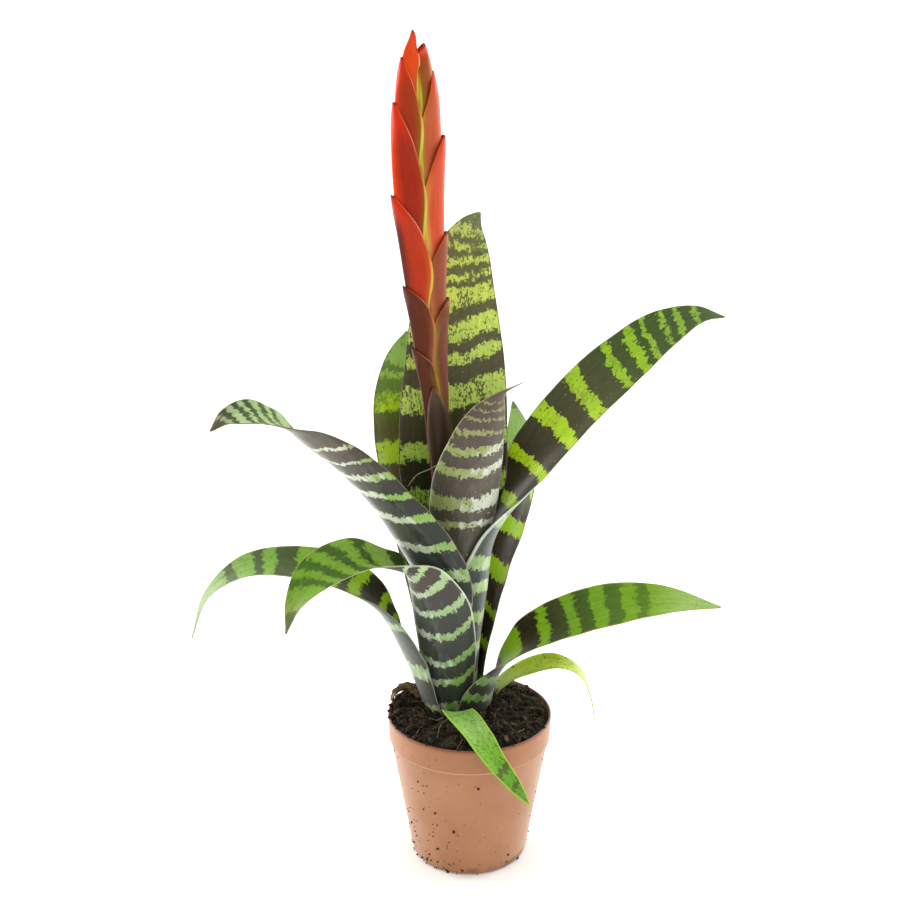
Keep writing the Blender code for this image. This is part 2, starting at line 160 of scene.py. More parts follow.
# Each leaf from its base to its tip: across, away and height of the midrib, width across the arc,
# the way that the leaf grows in degrees, its roll about the midrib, and half the angle of the arc.
LEAVES = {
    "leaf_back_tall": (
        (0, 6, -9, 14.6, 92, 0, 69), (-1, 8, 30, 22, 92, 0, 62), (-2, 11, 52, 28, 92, 0, 56),
        (-3, 14, 82, 37, 92, 0, 46), (-3, 16, 104, 46, 92, 0, 44), (-3, 18, 126, 61, 90, 0, 44),
        (-3, 20, 158, 62, 90, 0, 38), (-2, 22, 190, 56, 88, 0, 30), (-2, 26, 214, 49, 86, 0, 24),
        (0, 31, 236, 38, 84, 0, 18), (4, 36, 256, 23, 82, 0, 12), (7, 38, 264, 12, 80, 0, 10),
        (11, 40, 269.5, 1.2, 80, 0, 4),
    ),
    "leaf_front_upright": (
        (-1, -6.3, -9, 15, 262, 0, 62), (-2, -8, 30, 17, 264, 0, 50),
        (-2.6, -9.4, 50, 20, 266, 0, 48), (-3, -11, 68, 24, 268, 0, 48),
        (-2, -12.5, 90, 33, 270, 0, 52), (2, -14.5, 115, 41, 274, 0, 54),
        (5.5, -16, 135, 42, 280, 0, 50), (9, -18, 151, 37, 284, 0, 46),
        (13, -19.5, 167, 30, 290, 0, 42), (17.5, -20.5, 180, 20, 296, 0, 36),
        (22, -21.5, 189, 8, 308, 0, 30), (33, -22, 196, 1.2, 330, 0, 16),
    ),
    "leaf_back_left": (
        (-6, 6, -9, 17, 138, 0, 57), (-8.5, 8.5, 26, 18, 136, 0, 50), (-13, 14, 50, 22, 130, 0, 40),
        (-21, 20, 82, 30, 126, 0, 40), (-30, 29, 125, 35, 118, 0, 36),
        (-33, 35, 146, 33, 114, 0, 31), (-34.5, 40, 170, 26, 110, 0, 25),
        (-32, 43, 190, 14, 108, 0, 18), (-28, 45, 202, 1.2, 106, 0, 6),
    ),
    "leaf_right_tall": (
        (6.5, -6, -9, 18.6, -42, 0, 60), (8, -7, 35, 28, -40, 0, 60), (13, -5, 70, 34, -32, 0, 60),
        (19, 0, 98, 36, -18, 10, 52), (34, 9, 127, 36, 0, 28, 40), (59, 23, 161, 33, 12, 42, 28),
        (88, 36, 187, 30, 16, 46, 20), (115, 45, 205, 21, 18, 44, 16),
        (132, 49, 210, 10, 18, 40, 12), (145, 51, 208, 1.2, 18, 30, 6),
    ),
    "leaf_left_upper": (
        (-7, -9, -9, 24.7, 232, 0, 62), (-8.4, -10.6, 20, 27, 233, 0, 60),
        (-9, -12, 44, 30, 234, 0, 62), (-16, -17.5, 79, 50, 230, 0, 65),
        (-28.5, -20, 102, 58, 222, 0, 64), (-44, -23, 126.5, 58, 208, 6, 60),
        (-61, -27, 148.5, 50, 198, 18, 54), (-81, -31, 167.5, 29, 190, 26, 40),
        (-97, -34, 180, 17, 188, -14, 28), (-109, -36, 184, 16, 186, -34, 24),
        (-119, -37, 182, 10, 186, -38, 20), (-127, -38, 175, 1.2, 186, -40, 8),
    ),
    "leaf_back_right": (
        (9, 7, -9, 25, 38, 0, 63), (11.5, 10.5, 23, 22, 38, 0, 48), (16, 17, 44, 22, 38, 0, 38),
        (23, 27, 71, 26, 40, 0, 42), (30, 37, 93, 27, 46, 0, 38), (35, 44, 120, 24, 54, 0, 32),
        (34, 49, 141, 16, 64, 0, 24), (30, 52, 159, 1.2, 74, 0, 10),
    ),
    "leaf_front_left": (
        (-4, -13, -9, 29.4, 255, 0, 62), (-7, -16.5, 11, 33, 255, 0, 62),
        (-10, -21, 42, 42, 252, 0, 64), (-16, -26, 72, 41, 244, 0, 64),
        (-26, -30, 90, 32, 226, 0, 66), (-38, -34, 98, 22, 206, -10, 60),
        (-57, -40, 104, 24, 196, -36, 40), (-75, -48, 98, 22, 190, -44, 30),
        (-85, -54, 86, 12, 188, -40, 22), (-90, -58, 70, 1.2, 188, -30, 8),
    ),
    "leaf_back_low": (
        (-4.6, 13.3, -9, 20, 109, 0, 40), (-6.6, 18.4, 30, 20, 108, 0, 31),
        (-7, 33, 70, 27, 102, 0, 34), (-3, 56, 98, 29, 94, 0, 32), (2, 84, 108, 24, 90, 0, 28),
        (6, 108, 100, 12, 88, 0, 22), (7, 118, 90, 1.2, 88, 0, 8),
    ),
    "leaf_left_lower": (
        (-15, -7, -9, 23.7, 205, 0, 41), (-19.5, -8.6, 6, 28, 203, 0, 34),
        (-31, -12, 38, 36, 200, 0, 44), (-47, -12, 67, 35, 192, -10, 42),
        (-66, -9, 81, 28, 184, -24, 36), (-91, -4, 86, 20, 180, -36, 28),
        (-116, 0, 82, 14, 180, -40, 24), (-137, 0, 66, 6, 180, -34, 18),
        (-147, 0, 39, 1.2, 180, -20, 8),
    ),
    "leaf_right_lower": (
        (11.5, -12, -9, 29, -46, 0, 50), (14, -13, 6, 30, -44, 0, 50),
        (22, -13, 24, 30, -28, 6, 44), (38, -16, 46, 29, -10, 22, 38),
        (60, -20, 61, 27, -2, 36, 30), (86, -24, 71, 24, 0, 44, 24), (112, -28, 75, 15, 0, 44, 18),
        (139, -32, 73, 1.2, 0, 30, 6),
    ),
    "leaf_back_left_low": (
        (-7.7, 14.5, -9, 20.6, 118, 0, 36), (-12, 22, 24, 24, 118, 0, 36),
        (-20, 37, 58, 25, 116, 0, 34), (-29, 57, 84, 22, 114, 0, 28), (-36, 76, 92, 14, 112, 0, 22),
        (-40, 90, 86, 1.2, 112, 0, 8),
    ),
    "leaf_right_small": (
        (17, 6, -9, 11.4, 20, 0, 18), (18, 6.3, 0, 11.6, 16, 0, 18), (30, 6, 13, 12, 8, 10, 20),
        (42, 5, 20, 12, 2, 24, 18), (56, 0, 24, 10, 0, 24, 16), (67, -2, 19, 7, 0, 14, 12),
        (73, -4, 6, 4, 0, 0, 8), (76, -4, -11, 1.2, 0, 0, 4),
    ),
    "leaf_front_small": (
        (-0.6, -19, -9, 14.6, 269, 0, 22), (-0.6, -19.1, 0, 15, 270, 0, 22),
        (-1, -28, 8, 17, 276, 0, 24), (9, -46, 5, 16, 292, 0, 20), (19, -62, -3, 13, 300, 0, 16),
        (30, -70, -14, 8, 302, 0, 12), (37, -72, -23, 1.2, 304, 0, 6),
    ),
    "leaf_withered": (
        (-23.5, 1, 3, 7, 176, 0, 60), (-26, 0, 6, 9, 178, 10, 70), (-30, -1, 8, 9, 184, 20, 70),
        (-34, -3, 6.5, 7, 190, 20, 60), (-37, -5, 3, 2, 196, 10, 40),
    ),
}

# The spike: its turn in degrees, half its width at each height, and its depth.
SPIKE_TURN = 25.0
SPIKE_EDGE = (
    (140, 5.0), (156, 6.4), (178, 8.0), (206, 10.2), (245, 12.5), (271, 13.8), (290, 14.8),
    (318, 14.4), (337, 12.2), (351, 9.2), (359, 7.3), (365, 4.6), (372, 1.0),
)
SPIKE_DEPTH = 5.4
# Each bract: its edge of the spike, the heights of its tip, its fork and its hidden foot, and how
# far its margin reaches from the keel to the middle at the fork, halfway up and near the tip.
BRACTS = (
    (-1, 208, 188, 130, 1.1, 0.78, 0.26), (1, 233, 215, 132, 1.0, 0.7, 0.3),
    (-1, 242, 218, 178, 1.15, 0.8, 0.26), (1, 268, 244, 205, 1.0, 0.7, 0.3),
    (-1, 290, 247, 208, 1.22, 0.82, 0.25), (1, 318, 285, 234, 1.0, 0.66, 0.3),
    (-1, 337, 287, 237, 1.15, 0.78, 0.26), (1, 351, 324, 275, 1.0, 0.66, 0.3),
    (-1, 359, 326, 277, 1.1, 0.8, 0.3), (1, 365, 345, 314, 1.0, 1.0, 0.95),
    (-1, 372, 352, 316, 1.1, 1.25, 1.1),
)
SCAPE_BRACT = (
    (-8.5, -5.4, 128, 16, 272, 0, 95), (-9.5, -6, 145, 18, 272, 0, 85),
    (-10.5, -6.8, 164, 18, 272, 0, 75), (-12, -6.9, 178, 10, 272, 0, 60),
    (-13.5, -6.4, 187, 1.0, 272, 0, 30),
)

# Without a seed, the noise that bends the crumbs starts from the clock.
noise.seed_set(NOISE_SEED)


def tint(red, green, blue):
    """A colour given in display values from 0 to 255, as light."""
    return tuple(
        value / 12.92 if value <= 0.04045 else ((value + 0.055) / 1.055) ** 2.4
        for value in (red / 255, green / 255, blue / 255)
    )


# ---------------------------------------------------------------- materials


class Wire:
    """One output of a material's nodes. Sums written with it add the Math nodes they need."""

    def __init__(self, finish, socket):
        self.finish = finish
        self.socket = socket

    def maths(self, operation, *values):
        return self.finish.node("ShaderNodeMath", {"operation": operation}, values)

    def __add__(self, other):
        return self.maths("ADD", self, other)

    def __sub__(self, other):
        return self.maths("SUBTRACT", self, other)

    def __rsub__(self, other):
        return self.maths("SUBTRACT", other, self)

    def __mul__(self, other):
        return self.maths("MULTIPLY", self, other)

    def __truediv__(self, other):
        return self.maths("DIVIDE", self, other)

    def __abs__(self):
        return self.maths("ABSOLUTE", self)

    def sine(self):
        return self.maths("SINE", self)

    def most(self, other):
        return self.maths("MAXIMUM", self, other)

    __radd__ = __add__
    __rmul__ = __mul__


class Finish:
    """A material with a principled shader, whose nodes are added one at a time."""

    def __init__(self, name, **constants):
        self.material = bpy.data.materials.new(name)
        self.material.use_nodes = True
        self.tree = self.material.node_tree
        self.shader = self.tree.nodes["Principled BSDF"]
        for socket, value in constants.items():
            self.shader.inputs[socket.replace("_", " ")].default_value = value

    def node(self, kind, settings=None, inputs=(), output=0):
        """Adds a node: its settings first, then the values or links of its sockets."""
        node = self.tree.nodes.new(kind)
        for key, value in (settings or {}).items():
            if key == "stops":
                self.set_stops(node.color_ramp, value)
            else:
                setattr(node, key, value)
        pairs = inputs.items() if isinstance(inputs, dict) else enumerate(inputs)
        for key, value in pairs:
            if isinstance(value, Wire):
                self.tree.links.new(value.socket, node.inputs[key])
            else:
                node.inputs[key].default_value = value
        return Wire(self, node.outputs[output])

    @staticmethod
    def set_stops(ramp, stops):
        while len(ramp.elements) < len(stops):
            ramp.elements.new(1.0)
        for element, (place, value) in zip(ramp.elements, stops):
            element.position = place
            colour = value if isinstance(value, tuple) else (value,) * 3
            element.color = (*colour, 1.0)

    def attribute(self, name):
        settings = {"attribute_type": "GEOMETRY", "attribute_name": name}
        return self.node("ShaderNodeAttribute", settings, (), "Vector")

    def place(self):
        """The object's own coordinates, in millimetres."""
        found = self.node("ShaderNodeTexCoord", None, (), "Object")
        inputs = {0: found, "Scale": 1 / MM}
        return self.node("ShaderNodeVectorMath", {"operation": "SCALE"}, inputs)

    def put(self, **wires):
        for socket, wire in wires.items():
            self.tree.links.new(wire.socket, self.shader.inputs[socket.replace("_", " ")])
        return self.material


def ramp(value, stops):
    """Colours or numbers that change with the value."""
    return value.finish.node("ShaderNodeValToRGB", {"stops": sorted(stops)}, (value,))


def step(value, low, high):
    """0 below low, 1 above high, and smooth between them."""
    inputs = {"Value": value, "From Min": low, "From Max": high}
    return value.finish.node("ShaderNodeMapRange", {"interpolation_type": "SMOOTHSTEP"}, inputs)


def fall(value, low, high):
    """1 below low, 0 above high, and smooth between them."""
    return 1.0 - step(value, low, high)


def blend(share, first, second):
    """Two colours mixed. Those given as three numbers are display values."""
    first, second = ((*tint(*c), 1.0) if isinstance(c, tuple) else c for c in (first, second))
    inputs = {0: share, 6: first, 7: second}
    return share.finish.node("ShaderNodeMix", {"data_type": "RGBA"}, inputs, 2)


def vector(x, y, z=0.0):
    return x.finish.node("ShaderNodeCombineXYZ", None, (x, y, z))


def shade(colour, lift):
    """The colour made lighter or darker by a number."""
    settings = {"data_type": "RGBA", "blend_type": "MULTIPLY"}
    inputs = {0: 1.0, 6: colour, 7: vector(lift, lift, lift)}
    return colour.finish.node("ShaderNodeMix", settings, inputs, 2)


def split(place):
    return [place.finish.node("ShaderNodeSeparateXYZ", None, (place,), i) for i in range(3)]


def clouds(place, scale, detail, roughness=0.5):
    inputs = {"Vector": place, "Scale": scale, "Detail": detail, "Roughness": roughness}
    return place.finish.node("ShaderNodeTexNoise", None, inputs)


def streaks(x, y, z, detail):
    """Clouds stretched by how slowly each of the three values runs."""
    return clouds(vector(x, y, z), 1.0, detail)


def cells(place, scale, output="Distance"):
    return place.finish.node(
        "ShaderNodeTexVoronoi", None, {"Vector": place, "Scale": scale}, output
    )


def bump(height, strength=1.0):
    """A bump whose height is in millimetres."""
    inputs = {"Height": height, "Strength": strength, "Distance": MM}
    return height.finish.node("ShaderNodeBump", None, inputs)


@dataclass
class Face:
    """How one face of a leaf is marked: where its pale bands start and end, the colours on and
    between the bands along the leaf, how the bands slant and bow, how ragged, soft, broken and
    dotted they are, where chalky scurf lies, and the margin, the peat specks and the gloss."""

    bands: tuple
    pale: tuple
    dark: tuple
    slant: float = 0.0
    bow: float = 0.0
    ragged: float = 1.0
    soft: float = 0.12
    broken: float = 1.8
    dots: float = 0.0
    chalk: float = 0.0
    chalk_side: float = 0.0
    chalk_middle: float = 0.0
    chalk_end: float = 2.0
    brim: float = 0.45
    edge: tuple = (95, 70, 60)
    speckle: float = 0.5
    gloss: float = 0.36


def band_stops(bands, length):
    stops = [(0.0, 0.0)]
    for start, end in bands:
        slope = min(BAND_SHOULDER, (end - start) / 2)
        stops += [
            (max(start - slope, 0) / length, 0.0), ((start + slope) / length, 1.0),
            ((end - slope) / length, 1.0), (min(end + slope, length) / length, 0.0),
        ]
    return stops


def leaf_finish(name, face, length, seed):
    """Cross bands with edges torn along the veins, fine veins, a thin margin and crumbs of peat."""
    sheen = 0.08 + 0.25 * (face.chalk > 0)
    finish = Finish(name, Specular_IOR_Level=0.26, Sheen_Weight=sheen, Sheen_Roughness=0.4)
    across, along, margin = split(finish.attribute("strap"))
    comb = streaks(across * 0.5, along * 0.12, seed, 2.5)
    blotch = streaks(across * 0.55, along * 0.5, seed + 7.3, 3.0)
    drift = streaks(across * 0.07, along * 0.035, seed + 13.1, 1.0)
    flecks = streaks(across * 1.1, along * 0.55, seed + 17.0, 2.0)
    mottle = streaks(across * 0.25, along * 0.2, seed + 21.0, 4.0)
    vein = streaks(across * 1.5, along * 0.022, seed + 5.0, 4.0)

    slanted = along + across * face.slant + across * across * face.bow
    place = slanted + (comb - 0.5) * (BAND_TEAR * face.ragged) + (drift - 0.5) * BAND_WANDER
    share = place / length
    found = None
    for first in range(0, len(face.bands), BANDS_IN_RAMP):
        part = ramp(share, band_stops(face.bands[first:first + BANDS_IN_RAMP], length))
        found = part if found is None else found.most(part)
    wear = (blotch - 0.5) * face.broken + (flecks - 0.5) * (face.broken * 0.5)
    mask = step(found + wear, BAND_CUT - face.soft, BAND_CUT + face.soft)
    if face.dots:
        crowd = streaks(across * 0.12, along * 0.09, seed + 51.0, 1.0)
        mask = mask * (1.0 - step(flecks + (crowd - 0.5) * 0.6, 0.57, 0.63) * face.dots)

    lengthwise = along / length
    pale = ramp(lengthwise, [(place, tint(*colour)) for place, *colour in face.pale])
    deep = [(place, tuple(BAND_DEPTH * v for v in tint(*colour))) for place, *colour in face.dark]
    dark = ramp(lengthwise, deep)
    if face.chalk:
        reach = streaks(across * 0.3, along * 0.12, seed + 3.7, 3.0)
        reach = reach + (across - face.chalk_middle) * face.chalk_side
        chalk = step(reach, 0.42, 0.72) * face.chalk
        chalk = chalk * fall(lengthwise, face.chalk_end - 0.08, face.chalk_end)
        pale = blend(chalk, pale, CHALK)
        bleached = chalk * 0.12 + step(reach, 0.95, 1.5) * 0.55
        dark = blend(bleached, dark, CHALK_BETWEEN)
    colour = shade(blend(mask, dark, pale), 0.46 + vein * 0.72 + mottle * 0.36)

    spot_place = vector(across * 0.42, along * 0.42, seed + 31.0)
    spots = cells(spot_place, 1.0)
    chosen = split(cells(spot_place, 1.0, "Color"))[0]
    clumps = streaks(across * 0.06, along * 0.06, seed + 41.0, 1.0)
    rare = 1.0 - 0.3 * face.speckle
    crumb = fall(spots + blotch * 0.12, 0.15, 0.24) * step(
        chosen + (clumps - 0.5) * 0.5, rare, rare + 0.02
    )
    colour = blend(crumb * 0.85, colour, PEAT_SPECK)
    # The margin band in the face's edge colour; on the outer face of the right tall leaf this
    # near-white band is painted highlight.
    rim = fall(margin + (comb - 0.5) * 0.8, face.brim - 0.3, face.brim + 0.3)
    colour = blend(rim * 0.75, colour, face.edge)

    ribs = (across * RIB_TURN + (comb - 0.5) * 4.0).sine()
    relief = ribs * 0.012 + vein * 0.05 + mottle * 0.12 + crumb * 0.25
    roughness = face.gloss + (mottle - 0.5) * 0.18 + crumb * 0.3 + mask * 0.05
    return finish.put(Base_Color=colour, Roughness=roughness, Normal=bump(relief, 0.8))


# The colours along a leaf on its pale bands and between them: a place from 0 to 1, then a colour.
LIME_ON_BROWN = {
    "pale": ((0, 120, 150, 30), (0.25, 150, 192, 5), (0.6, 158, 198, 30), (1, 120, 165, 60)),
    "dark": ((0, 40, 30, 14), (0.35, 48, 38, 14), (0.7, 84, 88, 44), (1, 74, 92, 44)),
}
GREY_GREEN = {
    "pale": ((0, 120, 150, 70), (0.4, 150, 184, 118), (1, 160, 186, 130)),
    "dark": ((0, 48, 52, 40), (0.4, 62, 70, 64), (1, 88, 88, 78)),
}
EVEN_BANDS = tuple((start, start + 7.5) for start in range(24, 280, 19))

INNER_FACES = {
    "leaf_back_tall": Face(
        ((40, 48), (66, 74), (92, 101), (122, 133), (149, 160), (176, 190), (200, 207), (213, 225),
         (231, 242), (245, 249), (253, 258), (262, 266), (269, 276)),
        ((0, 110, 150, 30), (0.4, 156, 196, 62), (0.62, 200, 228, 110), (0.85, 204, 226, 96),
         (0.94, 190, 212, 100), (1, 182, 202, 136)),
        ((0, 40, 42, 26), (0.5, 60, 60, 40), (0.68, 104, 100, 70), (0.92, 124, 130, 84),
         (1, 134, 150, 98)),
        slant=0.19, bow=-0.0067, ragged=1.2, soft=0.2, broken=2.4, dots=0.9, edge=(92, 60, 66),
        speckle=0.75,
    ),
    "leaf_back_left": Face(
        ((60, 70), (92, 104), (120, 130), (145, 158), (173, 184), (192, 196), (199, 216)),
        ((0, 120, 150, 20), (0.68, 164, 194, 18), (0.82, 174, 210, 28), (0.9, 156, 194, 92),
         (1, 150, 186, 104)),
        ((0, 60, 44, 22), (0.62, 92, 74, 32), (0.76, 104, 102, 38), (0.86, 130, 158, 66),
         (1, 136, 170, 88)),
        soft=0.2, dots=0.7, edge=(120, 120, 50), speckle=0.8,
    ),
    "leaf_right_tall": Face(
        ((40, 47), (68, 76), (98, 105), (128, 135), (150, 157), (174.5, 184), (197, 206),
         (222.5, 228), (236, 242), (246, 250), (257, 260), (265, 270), (276, 279)),
        ((0, 150, 190, 0), (0.5, 178, 214, 6), (0.66, 164, 200, 40), (0.8, 142, 184, 30),
         (1, 120, 160, 62)),
        ((0, 34, 26, 10), (0.44, 50, 40, 18), (0.56, 70, 64, 38), (0.7, 84, 88, 48),
         (0.84, 72, 98, 34), (1, 82, 104, 52)),
        slant=-0.18, broken=2.0, dots=0.35, edge=(110, 125, 70), speckle=0.6,
    ),
    "leaf_back_right": Face(
        ((20, 25), (38, 44), (57, 62), (76, 87), (103, 113), (128, 140), (148, 175)),
        ((0, 140, 180, 10), (0.6, 158, 198, 10), (0.8, 170, 206, 110), (1, 172, 206, 126)),
        ((0, 44, 30, 12), (0.65, 62, 46, 18), (0.8, 126, 160, 86), (1, 150, 182, 110)),
        slant=-0.2, ragged=1.1, edge=(150, 160, 140), speckle=0.6,
    ),
    "leaf_front_left": Face(
        ((8, 14), (30, 36), (60, 66), (90, 95), (112, 127), (132, 139), (145, 152), (158, 164),
         (169, 184)),
        ((0, 140, 170, 80), (0.6, 140, 178, 80), (0.7, 124, 168, 52), (0.86, 108, 156, 34),
         (0.95, 120, 140, 50), (1, 110, 100, 60)),
        ((0, 60, 66, 40), (0.6, 70, 100, 34), (0.85, 82, 124, 26), (1, 92, 92, 44)),
        slant=0.75, bow=0.01, soft=0.42, edge=(150, 140, 50), speckle=0.55, gloss=0.42,
    ),
    "leaf_left_upper": Face(
        ((20, 26), (48, 56), (80, 88), (110, 118), (140, 148), (170, 178), (200, 214), (217, 221),
         (223, 228), (230, 234), (236, 242), (244, 248)),
        ((0, 150, 184, 80), (0.8, 150, 184, 100), (0.93, 166, 192, 136), (1, 110, 90, 60)),
        ((0, 70, 80, 44), (0.85, 88, 120, 62), (0.93, 84, 98, 56), (1, 80, 66, 46)),
        slant=0.8, ragged=1.1, soft=0.34, edge=(120, 120, 80), gloss=0.42,
    ),
    "leaf_left_lower": Face(
        ((8, 12), (40, 46), (58, 65), (73, 80), (92, 99), (105, 112), (121, 130), (140, 147),
         (152, 166), (171, 215)),
        ((0, 140, 180, 20), (0.4, 158, 196, 0), (0.56, 118, 166, 40), (0.75, 128, 168, 78),
         (0.9, 162, 182, 140), (1, 110, 130, 90)),
        ((0, 48, 30, 12), (0.33, 66, 34, 14), (0.4, 42, 30, 12), (0.52, 76, 96, 30),
         (0.7, 92, 112, 66), (0.85, 120, 138, 96), (1, 92, 92, 76)),
        soft=0.26, edge=(150, 160, 110), gloss=0.42,
    ),
    "leaf_right_lower": Face(
        ((16, 24), (38, 57), (70, 77), (87, 94), (102, 111), (120, 128), (133, 171)),
        ((0, 120, 160, 10), (0.3, 138, 182, 4), (0.5, 104, 152, 12), (0.78, 116, 162, 24),
         (0.88, 150, 182, 92), (1, 150, 186, 110)),
        ((0, 54, 34, 14), (0.4, 52, 42, 14), (0.52, 66, 82, 16), (0.62, 82, 120, 18),
         (0.76, 98, 142, 20), (1, 120, 150, 60)),
        ragged=0.9, soft=0.3, edge=(160, 160, 60), speckle=0.4, gloss=0.4,
    ),
    "leaf_right_small": Face(
        ((5, 13), (15, 101)),
        ((0, 96, 120, 20), (0.3, 160, 184, 20), (0.55, 166, 190, 44), (0.75, 190, 212, 120),
         (1, 164, 200, 80)),
        ((0, 56, 54, 20), (0.3, 96, 96, 24), (1, 120, 150, 40)),
        ragged=1.2, broken=2.6, edge=(170, 190, 70), speckle=1.6, gloss=0.4,
    ),
    "leaf_front_small": Face(
        ((0, 68.5), (70.5, 79), (81, 92)),
        ((0, 84, 124, 40), (0.25, 104, 150, 50), (0.42, 140, 182, 92), (0.62, 108, 164, 30),
         (0.85, 84, 140, 20), (1, 100, 140, 60)),
        ((0, 92, 134, 50), (0.55, 92, 130, 36), (0.68, 88, 112, 28), (1, 86, 106, 30)),
        slant=0.3, ragged=1.3, soft=0.4, broken=3.6, brim=0.7, edge=(156, 196, 20), speckle=1.2,
        gloss=0.4,
    ),
}
OUTER_FACES = {
    "leaf_front_upright": Face(
        ((119.5, 124), (130.5, 139), (151, 157), (165, 169.5), (176, 178.8), (184.3, 186.4),
         (190.3, 192), (196.2, 197.6)),
        ((0, 120, 112, 84), (0.6, 150, 158, 104), (0.76, 156, 170, 104), (0.86, 140, 138, 92),
         (1, 132, 120, 80)),
        ((0, 78, 74, 60), (0.5, 92, 84, 72), (0.75, 104, 92, 82), (0.95, 104, 88, 76),
         (1, 56, 50, 34)),
        slant=-0.15, bow=-0.004, ragged=0.8, broken=2.3, chalk=0.85, chalk_side=0.022,
        chalk_end=0.84, edge=(150, 146, 104), speckle=0.9, gloss=0.44,
    ),
    "leaf_front_left": Face(
        ((10, 16), (28, 33), (42, 46.5), (58, 62.5), (73, 77.5), (88, 92.5), (100, 104),
         (108, 111)),
        ((0, 104, 140, 56), (0.22, 120, 156, 84), (0.4, 160, 190, 136), (0.6, 178, 202, 150),
         (1, 184, 190, 160)),
        ((0, 50, 54, 42), (0.2, 58, 62, 54), (0.38, 74, 78, 72), (0.47, 84, 76, 68),
         (0.62, 98, 86, 76), (1, 120, 104, 90)),
        slant=-0.1, bow=-0.012, ragged=0.8, chalk=0.8, chalk_side=-0.028, chalk_middle=2.0,
        brim=0.8, edge=(190, 200, 176), speckle=0.6, gloss=0.34,
    ),
    "leaf_left_upper": Face(
        ((22, 28), (42, 48), (60, 66), (79, 85), (98, 104), (116.5, 122), (138, 144), (156, 160.5),
         (169, 173.5), (181.5, 183.6), (191.5, 193.5)),
        ((0, 110, 140, 64), (0.4, 132, 168, 92), (0.6, 140, 176, 88), (0.74, 152, 166, 104),
         (0.84, 148, 142, 112), (1, 150, 136, 112)),
        ((0, 40, 44, 34), (0.45, 50, 56, 48), (0.6, 62, 62, 54), (0.7, 94, 84, 72),
         (0.85, 122, 110, 96), (1, 98, 76, 50)),
        slant=0.4, ragged=0.7, chalk=0.85, chalk_side=-0.03, chalk_middle=19.0, edge=(110, 92, 74),
        speckle=0.6, gloss=0.32,
    ),
    "leaf_left_lower": Face(
        ((10, 16), (33, 42), (66, 72), (96, 102), (124, 131), (150, 158)),
        ((0, 110, 146, 60), (0.3, 138, 170, 116), (1, 150, 176, 130)),
        ((0, 66, 72, 60), (0.4, 92, 98, 92), (1, 110, 112, 100)),
        ragged=1.2, chalk=0.5, edge=(150, 160, 140), speckle=0.7,
    ),
    # On the outer face of the right tall leaf, the wide near-white margin band is painted
    # highlight.
    "leaf_right_tall": Face(
        ((21, 28), (42, 50), (60, 67), (78, 86), (93, 101), (117, 124), (145, 152), (172, 180),
         (200, 207), (226, 232), (250, 256)),
        ((0, 110, 146, 60), (0.3, 146, 178, 116), (1, 150, 176, 120)),
        ((0, 50, 56, 46), (0.3, 72, 82, 78), (1, 92, 96, 84)),
        ragged=0.9, chalk=0.4, brim=1.9, edge=(222, 228, 214), speckle=0.4,
    ),
    "leaf_right_lower": Face(
        ((17, 22), (28, 34), (45, 51), (66, 72), (88, 94), (112, 118), (134, 140)),
        ((0, 92, 130, 44), (0.3, 112, 150, 80), (1, 150, 176, 110)),
        ((0, 42, 44, 34), (0.3, 58, 58, 50), (1, 110, 116, 84)),
        ragged=1.1, chalk=0.3, edge=(130, 140, 96),
    ),
    "leaf_right_small": Face(
        ((16, 101),),
        ((0, 110, 140, 40), (1, 170, 196, 96)),
        ((0, 70, 80, 36), (1, 120, 146, 60)),
        edge=(170, 190, 90), speckle=0.8,
    ),
    "leaf_front_small": Face(
        ((6, 20), (30, 92)),
        ((0, 110, 146, 50), (1, 130, 168, 80)),
        ((0, 80, 110, 40), (1, 96, 130, 50)),
        ragged=1.2, soft=0.4, edge=(140, 180, 70),
    ),
}


def spike_finish(name, colours, tip, fork, seed, strip_colour):
    """A bract's colours from its keel to its margin, and its paler margin by the fork. The lighter
    keel is partly painted highlight.
    """
    keel, face, green, top = colours
    finish = Finish(name, Specular_IOR_Level=0.15)
    across, height, margin = split(finish.attribute("boat"))
    streak = streaks(across * 9.0, height * 0.05, seed, 3.0)
    cloud = streaks(across * 1.6, height * 0.09, seed + 4.0, 3.0)
    rise = tip - fork
    # Keel colour in the middle, face colour out to the margins; the lighter keels are partly
    # painted highlight.
    colour = blend(step(abs(across) + (cloud - 0.5) * 0.3, 0.1, 0.5), keel, face)
    ragged_height = height + (streak - 0.5) * 6.0
    low = fall(ragged_height, fork - 0.3 * rise, fork + 0.6 * rise)
    near = fall(margin + (streak - 0.5) * 1.2, 0.6, 5.5)
    colour = blend(near * low * 0.75, colour, green)
    high = step(ragged_height, fork + 0.55 * rise, tip - 0.05 * rise)
    colour = blend(high * 0.85, colour, top)
    colour = shade(colour, 0.74 + streak * 0.36 + cloud * 0.16)
    strip = 0.35 + low * 1.25
    line = fall(margin + (streak - 0.5) * 0.3, strip - 0.3, strip + 0.5)
    brim = blend(low, (226, 120, 40), strip_colour)
    colour = blend(line * (0.35 + low * 0.5), colour, brim)
    colour = blend(step(height, tip - 2.2, tip - 0.4) * 0.7, colour, (96, 26, 36))
    relief = streak * 0.12 + cloud * 0.1
    roughness = 0.36 + (cloud - 0.5) * 0.16
    return finish.put(Base_Color=colour, Roughness=roughness, Normal=bump(relief, 0.8))
